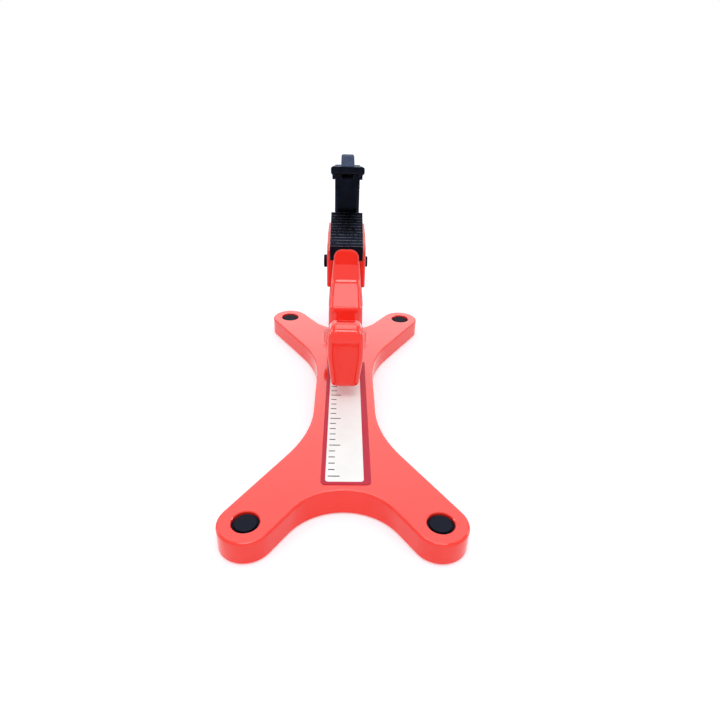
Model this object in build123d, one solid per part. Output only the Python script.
"""Bench pipe vise: an X-shaped cast base whose neck carries a hook jaw, a heel jaw and a knurled nut.

Millimetres. Origin at the middle of the base underside, X to the right, Y towards the back,
Z up. The mouth of the jaws opens towards -Y, over the long spine of the base.
"""
import os
from math import cos, radians, sin, tan

from build123d import *

# Base casting
base_thickness = 13.0
hole_spacing_x = 89.0
hole_spacing_y = 222.0
leg_radius = 13.2
leg_angle = 31.5
spine_width = 37.0
waist_radius = 80.0
base_top_round = 1.1
base_bottom_chamfer = 1.2
foot_hole_diameter = 13.0
foot_hole_chamfer = 0.4

# Slanting arches between the legs
crotch_angle = 33.4
crotch_radius = 27.7
crotch_foot_radius = 31.5

# Rubber plugs in the four leg holes
plug_recess = 0.5
plug_ring_width = 1.3
plug_ring_depth = 1.4
plug_clearance = 0.05

# Label laid on the spine
label_width = 25.3
label_middle_x = 0.9
label_front_y = -86.4
label_rear_y = 38.0
label_thickness = 0.3
label_corner = 2.5

# Shank of the hook jaw, from which the head takes its place
shank_front_y = 131.0
shank_depth = 14.0
shank_width = 18.6
shank_bottom_z = 25.5
shank_thread_diameter = 20.6
shank_root_depth = 10.0

# Head: depth and the gap that the springs bridge
spring_gap = 2.8
head_depth = 34.8
head_width = 20.6

# Lower neck, in side view
neck_width = 24.4
neck_root_round = 6.0
neck_corner_round = 6.5
neck_rear_round = 2.5
neck_hollow_radius = 10.0
neck_hollow_height = 11.0
shoulder_z = 43.0
shoulder_drop = 6.0

# Flat face of the neck, from the ledge up to the ears
ledge_z = 44.0
ledge_slope = 20.0
ledge_lip = 3.2
ledge_round = 3.8
riser_setback = 0.8
slope_depth = 25.0
face_hollow_radius = 11.0
face_top_width = 18.7
face_bottom_width = 23.8
face_edge_round = 3.4
face_gap = 1.6

# Horn over the label
horn_width = 21.3
horn_crown_width = 13.6
horn_foot_width = 15.8
horn_front_y = -12.0
horn_top_z = 63.9
horn_belly_top_z = 55.5
horn_belly_bottom_z = 42.5
horn_bottom_z = 22.4
horn_root_top_z = 34.0
horn_root_bottom_z = 21.4
horn_top_length = 13.0
horn_top_fall = 1.6
horn_top_radius = 6.0
horn_dip_y = 22.0
horn_dip_z = 44.0
horn_dip_radius = 24.0
horn_root_radius = 14.0
horn_root_depth = 8.0
horn_crown_radius = 9.4
horn_chin_radius = 4.2
horn_belly_radius = 12.0
horn_edge_round = 3.5

# Pipe that the rest opening takes
pipe_diameter = 33.4
pipe_z = 108.0
mouth_depth = 20.0

# Heel jaw and the tongue that it straddles
heel_drop = 20.0
heel_width = 23.7
heel_setback = 1.0
heel_overhang = 5.2
heel_ear_bottom_z = 70.0
heel_overhang_z = 83.0
heel_overhang_rise = 2.0
heel_overhang_round = 1.5
heel_inner_round = 1.0
tongue_width = 17.8
tongue_top_z = 78.4
tongue_corner = 6.0
tongue_chamfer = 0.8
saddle_clearance = 0.1
tooth_rake = 0.3
heel_tooth_pitch = 3.2
heel_tooth_depth = 1.3
heel_pin_diameter = 5.0
heel_pin_inset = 17.8
heel_pin_z = 73.8

# Hook jaw
hook_rise = 12.0
hook_width = 22.8
hook_reach = 42.5
hook_tip_height = 4.2
hook_tip_radius = 1.2
hook_slab_thickness = 6.0
hook_slab_round = 1.6
hook_rib_width = 9.2
hook_rib_round = 1.4
hook_crown_inset = 11.0
hook_crown_z = 137.8
hook_crown_radius = 40.0
hook_back_z = 132.0
hook_back_radius = 12.0
hook_web_top_z = 127.0
hook_web_radius = 6.0
hook_throat_radius = 4.0
hook_tooth_pitch = 3.0
hook_tooth_depth = 1.4
hook_tooth_margin = 0.8

# Knurled nut
nut_wall = 3.6
nut_height = 15.2
nut_bore_clearance = 0.3
nut_flutes = 36
nut_flute_width = 1.5
nut_rim_chamfer = 1.2

# Housing that holds the nut and guides the shank
housing_width = 28.7
housing_bottom_z = 44.4
housing_top_z = 81.0
cheek_drop = 6.0
cheek_top_radius = 9.0
cheek_bottom_radius = 2.0
block_front_radius = 6.0
block_top_radius = 7.0
block_bottom_radius = 5.0
cheek_reach = 8.0
cheek_clearance = 0.2
ear_clearance = 0.35
guide_wall = 9.4
rear_wall = 8.0
window_bottom_z = 51.0
window_clearance = 0.25
guide_clearance = 0.25
housing_edge_round = 1.2
rocking_clearance = 0.9

# Housing pin
pin_diameter = 8.0
pin_inset = 13.8
pin_z = 63.0
pin_clearance = 0.05
pin_head_diameter = 9.4
pin_head_height = 2.4
pin_end_height = 1.6
pin_chamfer = 0.5

# Springs between neck and housing
leaf_thickness = 0.8
leaf_width = 10.0
leaf_bottom_z = 51.0
leaf_bend_z = 67.0
leaf_top_z = 79.0
leaf_bend_radius = 8.0
leaf_seat_gap = 0.1
rivet_diameter = 3.4
rivet_head_diameter = 5.6
rivet_head_height = 0.9
rivet_length = 9.0
rivet_z = 55.0
coil_diameter = 5.6
coil_wire = 0.9
coil_z = 47.7
coil_pocket_depth = 6.0
coil_clearance = 0.2

# Reach of the cutters past what they cut, depth by which joined shapes overlap, and the
# difference below which two places count as the same
cutter_reach = 5.0
overlap = 1.0
same_place = 0.01

# Places worked out from the sizes above
base_top_z = base_thickness
nut_diameter = shank_thread_diameter + 2 * (nut_bore_clearance + nut_wall)
hole_x = hole_spacing_x / 2
hole_y = hole_spacing_y / 2
shank_rear_y = shank_front_y + shank_depth
shank_axis_y = shank_front_y + shank_depth / 2
block_front_y = shank_front_y - guide_wall
housing_rear_y = shank_rear_y + rear_wall
head_rear_y = block_front_y - spring_gap
head_front_y = head_rear_y - head_depth
neck_front_y = head_front_y - slope_depth
pin_y = head_rear_y - pin_inset
housing_front_y = pin_y - cheek_reach
face_rear_y = housing_front_y - face_gap
heel_pin_y = head_rear_y - heel_pin_inset
heel_front_y = head_front_y + heel_setback
heel_rear_y = head_rear_y + heel_overhang
hook_tip_y = shank_front_y - hook_reach
hook_crown_y = shank_front_y - hook_crown_inset
pipe_radius = pipe_diameter / 2
pipe_y = shank_front_y - mouth_depth
heel_contact_y = pipe_y + pipe_radius * sin(radians(heel_drop))
heel_contact_z = pipe_z - pipe_radius * cos(radians(heel_drop))
hook_contact_y = pipe_y + pipe_radius * sin(radians(hook_rise))
hook_contact_z = pipe_z + pipe_radius * cos(radians(hook_rise))
window_top_z = window_bottom_z + nut_height + 2 * window_clearance


def heel_face_z(y):
    """Height of the toothed plane of the heel jaw above a place on Y."""
    return heel_contact_z + (y - heel_contact_y) * tan(radians(heel_drop))


def hook_face_z(y):
    """Height of the toothed plane of the hook jaw above a place on Y."""
    return hook_contact_z - (y - hook_contact_y) * tan(radians(hook_rise))


def side_plate(corners, width):
    """Plate of the given width, centred on X = 0, from side-view corners (y, z, radius)."""
    points = [(y, z) for y, z, radius in corners]
    radii = [radius for y, z, radius in corners]
    outline = FilletPolyline(*points, radius=radii, close=True)
    return extrude(Plane.YZ * make_face(outline), amount=width / 2, both=True)


def block(x_range, y_range, z_range):
    """Rectangular block between pairs of limits."""
    size = [high - low for low, high in (x_range, y_range, z_range)]
    middle = [(high + low) / 2 for low, high in (x_range, y_range, z_range)]
    return Pos(*middle) * Box(*size)


def cross_bar(y, z, diameter, x_from, x_to):
    """Round bar that lies along X."""
    return Plane.YZ.offset(x_from) * Pos(y, z) * extrude(Circle(diameter / 2), amount=x_to - x_from)


def edges_along(solid, direction, minimum):
    """Straight edges of a solid that run along an axis and are longer than a minimum."""
    return solid.edges().filter_by(direction).filter_by(lambda edge: edge.length > minimum)


def teeth_cutter(y_from, y_to, face_height, pitch, depth, width):
    """Row of sawtooth notches along a toothed plane; a positive depth cuts upwards from the plane."""
    count = int((y_to - y_from) / pitch)
    points = []
    for index in range(count):
        y = y_from + index * pitch
        points.append((y, face_height(y)))
        points.append((y + pitch * tooth_rake, face_height(y + pitch * tooth_rake) + depth))
    last_y = y_from + count * pitch
    points.append((last_y, face_height(last_y)))
    points.append((last_y, face_height(last_y) - depth))
    points.append((y_from, face_height(y_from) - depth))
    face = make_face(Polyline(*points, close=True))
    return extrude(Plane.YZ * face, amount=width, both=True)


def base_outline(arch_radius):
    """X-shaped outline: four round-ended legs and a spine, with every inner corner as an arc."""
    join_y = hole_y - hole_x / tan(radians(leg_angle))
    outline = Rectangle(spine_width, 2 * (join_y + leg_radius))
    for angle in (leg_angle, crotch_angle):
        leg = SlotCenterToCenter(hole_x / sin(radians(angle)), 2 * leg_radius)
        middle_y = hole_y - hole_x / tan(radians(angle)) / 2
        for side in (-1, 1):
            for end in (-1, 1):
                turn = Rot(0, 0, side * end * (90 - angle))
                outline += Pos(side * hole_x / 2, end * middle_y) * turn * leg
    crotches = [vertex for vertex in outline.vertices() if abs(vertex.X) < same_place]
    outline = fillet(crotches, arch_radius)
    waists = [vertex for vertex in outline.vertices() if abs(abs(vertex.X) - spine_width / 2) < same_place]
    return fillet(waists, waist_radius)


def base_plate():
    """X-shaped plate whose arches slant outwards to the foot, rounded above and chamfered below."""
    top = Pos(0, 0, base_thickness) * base_outline(crotch_radius)
    plate = loft([base_outline(crotch_foot_radius), top], ruled=True)
    plate = fillet(plate.faces().sort_by(Axis.Z)[-1].outer_wire().edges(), base_top_round)
    return chamfer(plate.faces().sort_by(Axis.Z)[0].outer_wire().edges(), base_bottom_chamfer)


def front_plate(corners, y_from, y_to):
    """Plate between two places on Y, from the right half of its front-view corners (x, z, radius)."""
    outline = corners + [(-x, z, radius) for x, z, radius in reversed(corners)]
    points = [(x, z) for x, z, radius in outline]
    radii = [radius for x, z, radius in outline]
    face = Plane.XZ * make_face(FilletPolyline(*points, radius=radii, close=True))
    return Pos(0, y_to, 0) * extrude(face, amount=y_to - y_from)


def side_edges(solid, half_width, keep):
    """Edges at both side faces of a solid whose centre passes a test on (y, z)."""
    outer = solid.edges().filter_by(lambda edge: abs(edge.center().X) > half_width - same_place)
    return outer.filter_by(lambda edge: keep(edge.center().Y, edge.center().Z))


def lower_neck():
    """Thick lower part of the neck: well rounded in front, with a hollow curve at its back."""
    riser_y = neck_front_y + riser_setback
    corners = [
        (riser_y, base_top_z - overlap, 0),
        (riser_y, shoulder_z, 0),
        (head_rear_y, shoulder_z, 0),
        (head_rear_y, shoulder_z - shoulder_drop, shoulder_drop),
        (head_front_y, base_top_z + neck_hollow_height, neck_hollow_radius),
        (head_front_y, base_top_z - overlap, 0),
    ]
    neck = side_plate(corners, neck_width)
    uprights = edges_along(neck, Axis.Z, 2 * neck_hollow_height)
    neck = fillet(uprights.group_by(Axis.Y)[0], neck_corner_round)
    lower = side_edges(neck, neck_width / 2, lambda y, z: z < shoulder_z - same_place)
    rear = lower.filter_by(lambda edge: edge.center().Y > head_front_y - same_place)
    return fillet(rear, neck_rear_round)


def neck_face():
    """Flat front face from the ledge up to the ears: it tapers upwards and hollows back to the head."""
    slope_top_z = ledge_z + slope_depth * tan(radians(ledge_slope))
    bottom_z = ledge_z - ledge_lip
    profile = side_plate(
        [
            (neck_front_y, bottom_z, 0),
            (neck_front_y, ledge_z, ledge_round),
            (head_front_y, slope_top_z, face_hollow_radius),
            (head_front_y, heel_ear_bottom_z, 0),
            (face_rear_y, heel_ear_bottom_z, 0),
            (face_rear_y, bottom_z, 0),
        ],
        face_bottom_width + 2 * overlap,
    )
    taper = front_plate(
        [(face_bottom_width / 2, bottom_z, 0), (face_top_width / 2, heel_ear_bottom_z, 0)],
        neck_front_y - cutter_reach,
        face_rear_y + cutter_reach,
    )
    piece = profile & taper
    sides = side_edges(piece, face_top_width / 2, lambda y, z: y < head_front_y + same_place)
    front = sides.filter_by(lambda edge: edge.center().Z > bottom_z + same_place)
    return fillet(front, face_edge_round)


def head():
    """Slim upper part of the neck between the cheeks, with the tongue for the heel jaw on top."""
    root_z = heel_ear_bottom_z - 2 * overlap
    cheek_part = block(
        (-head_width / 2, head_width / 2),
        (face_rear_y - overlap, head_rear_y),
        (shoulder_z - overlap, heel_ear_bottom_z),
    )
    tongue = block((-tongue_width / 2, tongue_width / 2), (head_front_y, head_rear_y), (root_z, tongue_top_z))
    tongue = fillet(edges_along(tongue, Axis.Y, head_depth / 2).group_by(Axis.Z)[-1], tongue_corner)
    front_edges = tongue.faces().sort_by(Axis.Y)[0].edges()
    tongue = chamfer(front_edges.filter_by(lambda edge: edge.center().Z > root_z + same_place), tongue_chamfer)
    return cheek_part + tongue


def horn():
    """Round-nosed horn that reaches forward from the neck, free of the label below it."""
    root_y = neck_front_y + horn_root_depth
    side_view = side_plate(
        [
            (root_y, horn_root_top_z, 0),
            (neck_front_y, horn_root_top_z, horn_root_radius),
            (horn_dip_y, horn_dip_z, horn_dip_radius),
            (horn_front_y + horn_top_length, horn_top_z - horn_top_fall, horn_top_radius),
            (horn_front_y, horn_top_z, horn_crown_radius),
            (horn_front_y, horn_bottom_z, horn_chin_radius),
            (root_y, horn_root_bottom_z, 0),
        ],
        horn_width + 2 * overlap,
    )
    front_view = front_plate(
        [
            (horn_foot_width / 2, horn_root_bottom_z - overlap, 0),
            (horn_width / 2, horn_belly_bottom_z, horn_belly_radius),
            (horn_width / 2, horn_belly_top_z, horn_belly_radius),
            (horn_crown_width / 2, horn_top_z + overlap, 0),
        ],
        horn_front_y - cutter_reach,
        root_y,
    )
    bar = side_view & front_view
    free_edges = side_edges(bar, horn_crown_width / 2, lambda y, z: y < root_y - overlap)
    return fillet(free_edges.filter_by(is_rim), horn_edge_round)


def is_rim(edge):
    """Whether an edge of the horn isn't one of the smooth seams that run along its sides."""
    start, stop = edge.position_at(0), edge.position_at(1)
    return abs(start.X - stop.X) > same_place or abs(start.Z - stop.Z) > same_place


def base_casting():
    """One casting: X-shaped base, neck, horn and tongue, with its holes and spring pockets."""
    casting = base_plate() + lower_neck()
    root_edges = casting.edges().filter_by(
        lambda edge: abs(edge.center().Z - base_top_z) < same_place
        and abs(edge.center().X) < neck_width / 2 + same_place
        and neck_front_y < edge.center().Y < head_front_y + same_place
    )
    casting = fillet(root_edges, neck_root_round)
    for side in (-1, 1):
        for end in (-1, 1):
            hole = Pos(side * hole_x, end * hole_y, base_thickness / 2)
            casting -= hole * Cylinder(foot_hole_diameter / 2, 2 * base_thickness)
    circles = casting.edges().filter_by(GeomType.CIRCLE)
    upper = circles.filter_by(lambda edge: abs(edge.center().Z - base_top_z) < same_place)
    rims = upper.filter_by(lambda edge: abs(edge.radius - foot_hole_diameter / 2) < same_place)
    casting = chamfer(rims, foot_hole_chamfer)
    casting += neck_face()
    casting += head()
    casting += horn()
    casting -= cross_bar(pin_y, pin_z, pin_diameter + 2 * pin_clearance, -housing_width, housing_width)
    casting -= cross_bar(heel_pin_y, heel_pin_z, heel_pin_diameter, -heel_width, heel_width)
    pocket_diameter = coil_diameter + 2 * coil_clearance
    casting -= lengthwise_bar(coil_z, pocket_diameter, head_rear_y - coil_pocket_depth, head_rear_y)
    casting -= lengthwise_bar(rivet_z, rivet_diameter, head_rear_y - rivet_length, head_rear_y)
    return casting


def lengthwise_bar(z, diameter, y_from, y_to):
    """Round bar that lies along Y in the middle plane."""
    bar = Cylinder(diameter / 2, y_to - y_from, rotation=(90, 0, 0))
    return Pos(0, (y_from + y_to) / 2, z) * bar


def foot_plug():
    """Rubber plug of one leg hole, with a shallow ring groove round its flat top."""
    top_z = base_thickness - plug_recess
    radius = foot_hole_diameter / 2 - plug_clearance
    plug = Pos(0, 0, top_z / 2) * Cylinder(radius, top_z)
    groove = Cylinder(radius, plug_ring_depth) - Cylinder(radius - plug_ring_width, plug_ring_depth)
    return plug - Pos(0, 0, top_z - plug_ring_depth / 2) * groove


def label():
    """Bare label with rounded corners, flat on the spine and under the horn."""
    length = label_rear_y - label_front_y
    outline = RectangleRounded(label_width, length, label_corner)
    middle = Pos(label_middle_x, (label_front_y + label_rear_y) / 2, base_top_z)
    return middle * extrude(outline, amount=label_thickness)


def heel_jaw():
    """Toothed wedge with two ears that straddle the tongue."""
    ear_rear_y = head_rear_y - ear_clearance
    corners = [
        (heel_front_y, heel_ear_bottom_z, 0),
        (heel_front_y, heel_face_z(heel_front_y), 0),
        (heel_rear_y, heel_face_z(heel_rear_y), 0),
        (heel_rear_y, heel_overhang_z + heel_overhang_rise, heel_overhang_round),
        (ear_rear_y, heel_overhang_z, heel_inner_round),
        (ear_rear_y, heel_ear_bottom_z, 0),
    ]
    jaw = side_plate(corners, heel_width)
    saddle_half = tongue_width / 2 + saddle_clearance
    saddle = block(
        (-saddle_half, saddle_half),
        (heel_front_y - cutter_reach, heel_rear_y + cutter_reach),
        (heel_ear_bottom_z - cutter_reach, tongue_top_z + saddle_clearance),
    )
    saddle = fillet(edges_along(saddle, Axis.Y, head_depth / 2).group_by(Axis.Z)[-1], tongue_corner)
    jaw -= saddle
    jaw -= teeth_cutter(
        heel_front_y, heel_rear_y, heel_face_z, heel_tooth_pitch, -heel_tooth_depth, heel_width
    )
    return jaw - cross_bar(heel_pin_y, heel_pin_z, heel_pin_diameter, -heel_width, heel_width)


def heel_jaw_pin():
    """Press-fitted pin through the ears and the tongue, flush with both ears."""
    return cross_bar(heel_pin_y, heel_pin_z, heel_pin_diameter, -heel_width / 2, heel_width / 2)


def hook_jaw():
    """Hook with a toothed slab, a rib over it and the shank that hangs behind the mouth."""
    tip_z = hook_face_z(hook_tip_y)
    throat_z = hook_face_z(shank_front_y)
    shank_top_z = throat_z - shank_root_depth
    rib = side_plate(
        [
            (hook_tip_y, tip_z, 0),
            (hook_tip_y, tip_z + hook_tip_height, hook_tip_radius),
            (hook_crown_y, hook_crown_z, hook_crown_radius),
            (shank_rear_y, hook_back_z, hook_back_radius),
            (shank_rear_y, shank_top_z, 0),
            (shank_front_y, shank_top_z, 0),
            (shank_front_y, throat_z, hook_throat_radius),
        ],
        hook_rib_width,
    )
    rib = fillet(side_edges(rib, hook_rib_width / 2, lambda y, z: z > hook_web_top_z), hook_rib_round)
    slab_rear_y = shank_front_y + cutter_reach
    slab = side_plate(
        [
            (hook_tip_y, tip_z, 0),
            (hook_tip_y, tip_z + hook_tip_height, 0),
            (slab_rear_y, throat_z + hook_slab_thickness, 0),
            (slab_rear_y, throat_z - hook_throat_radius, 0),
            (shank_front_y, throat_z, 0),
        ],
        hook_width,
    )
    upper = side_edges(slab, hook_width / 2, lambda y, z: z > hook_face_z(y) + overlap)
    shoulders = upper.filter_by(lambda edge: edge.center().Y < shank_front_y)
    slab = fillet(shoulders, hook_slab_round)
    web = side_plate(
        [
            (shank_front_y, shank_top_z, 0),
            (shank_front_y, hook_web_top_z, 0),
            (shank_rear_y, hook_web_top_z, hook_web_radius),
            (shank_rear_y, shank_top_z, 0),
        ],
        shank_width,
    )
    jaw = rib + slab + web + shank(shank_top_z + overlap)
    first_y = hook_tip_y + hook_tooth_margin
    last_y = shank_front_y - hook_throat_radius
    return jaw - teeth_cutter(first_y, last_y, hook_face_z, hook_tooth_pitch, hook_tooth_depth, hook_width)


def shank(top_z):
    """Flat-sided shank whose narrow sides carry the thread on a round envelope."""
    section = Rectangle(shank_width, shank_depth) & Circle(shank_thread_diameter / 2)
    return Pos(0, shank_axis_y, shank_bottom_z) * extrude(section, amount=top_z - shank_bottom_z)


def adjusting_nut():
    """Round nut with a fluted rim, loose on the shank and held in the window of the housing."""
    middle_z = (window_bottom_z + window_top_z) / 2
    nut = Cylinder(nut_diameter / 2, nut_height)
    nut = chamfer(nut.edges().filter_by(GeomType.CIRCLE), nut_rim_chamfer)
    flute = Rot(0, 0, 45) * Box(nut_flute_width, nut_flute_width, nut_height)
    nut -= PolarLocations(nut_diameter / 2, nut_flutes) * flute
    nut -= Cylinder(shank_thread_diameter / 2 + nut_bore_clearance, nut_height)
    return Pos(0, shank_axis_y, middle_z) * nut


def housing():
    """Yoke with two cheeks beside the neck and two guide blocks above and below the nut."""
    yoke = side_plate(
        [
            (housing_front_y, housing_bottom_z, cheek_bottom_radius),
            (housing_front_y, housing_top_z - cheek_drop, cheek_top_radius),
            (block_front_y, housing_top_z, block_front_radius),
            (housing_rear_y, housing_top_z, block_top_radius),
            (housing_rear_y, housing_bottom_z, block_bottom_radius),
        ],
        housing_width,
    )
    outer_edges = yoke.edges().filter_by(lambda edge: abs(abs(edge.center().X) - housing_width / 2) < same_place)
    yoke = fillet(outer_edges, housing_edge_round)
    inner_half = head_width / 2 + cheek_clearance
    above_z = housing_top_z + cutter_reach
    yoke -= block((-inner_half, inner_half), (0, block_front_y), (0, above_z))
    ear_half = heel_width / 2 + ear_clearance
    ear_floor = heel_ear_bottom_z - rocking_clearance
    yoke -= block((-ear_half, ear_half), (0, block_front_y), (ear_floor, above_z))
    window_front_y = shank_axis_y - nut_diameter / 2 - 2 * window_clearance
    behind_y = housing_rear_y + cutter_reach
    window_heights = (window_bottom_z, window_top_z)
    yoke -= block((-housing_width, housing_width), (window_front_y, behind_y), window_heights)
    guide = Rectangle(shank_width + 2 * guide_clearance, shank_depth + 2 * guide_clearance)
    yoke -= Pos(0, shank_axis_y, 0) * extrude(guide, amount=above_z)
    return yoke - cross_bar(pin_y, pin_z, pin_diameter, -housing_width, housing_width)


def housing_pin():
    """Pin through the cheeks and the neck, with a head on the left and a plain end on the right."""
    left_x = -housing_width / 2
    right_x = housing_width / 2
    pin = cross_bar(pin_y, pin_z, pin_diameter, left_x, right_x + pin_end_height)
    pin += cross_bar(pin_y, pin_z, pin_head_diameter, left_x - pin_head_height, left_x)
    ends = pin.edges().filter_by(GeomType.CIRCLE).group_by(Axis.X)
    return chamfer(ends[0] + ends[-1], pin_chamfer)


def leaf_spring():
    """Bent strip that is riveted to the back of the neck and bears on the upper guide block."""
    tip_y = block_front_y - leaf_seat_gap
    corners = [
        (head_rear_y, leaf_bottom_z, 0),
        (head_rear_y, leaf_bend_z, leaf_bend_radius),
        (tip_y - leaf_thickness, leaf_top_z, 0),
        (tip_y, leaf_top_z, 0),
        (head_rear_y + leaf_thickness, leaf_bend_z, leaf_bend_radius),
        (head_rear_y + leaf_thickness, leaf_bottom_z, 0),
    ]
    strip = side_plate(corners, leaf_width)
    return strip - lengthwise_bar(rivet_z, rivet_diameter, head_rear_y - overlap, block_front_y)


def leaf_rivet():
    """Rivet that holds the leaf spring on the neck."""
    seat_y = head_rear_y + leaf_thickness
    stem = lengthwise_bar(rivet_z, rivet_diameter, head_rear_y - rivet_length, seat_y)
    return stem + lengthwise_bar(rivet_z, rivet_head_diameter, seat_y, seat_y + rivet_head_height)


def coil_spring():
    """Short coil spring between the neck and the lower guide block, as its outer sleeve."""
    pocket_y = head_rear_y - coil_pocket_depth
    sleeve = lengthwise_bar(coil_z, coil_diameter, pocket_y, block_front_y)
    return sleeve - lengthwise_bar(coil_z, coil_diameter - 2 * coil_wire, pocket_y, block_front_y)


def build():
    """Every piece of the vise under the name of its node."""
    pieces = {
        "base_casting": base_casting(),
        "label": label(),
        "heel_jaw": heel_jaw(),
        "heel_jaw_pin": heel_jaw_pin(),
        "hook_jaw": hook_jaw(),
        "adjusting_nut": adjusting_nut(),
        "housing": housing(),
        "housing_pin": housing_pin(),
        "leaf_spring": leaf_spring(),
        "leaf_rivet": leaf_rivet(),
        "coil_spring": coil_spring(),
    }
    for end, end_name in ((-1, "front"), (1, "rear")):
        for side, side_name in ((-1, "left"), (1, "right")):
            place = Pos(side * hole_x, end * hole_y, 0)
            pieces[f"foot_plug_{end_name}_{side_name}"] = place * foot_plug()
    return pieces


os.makedirs("parts", exist_ok=True)
for name, piece in build().items():
    export_step(piece, f"parts/{name}.step")
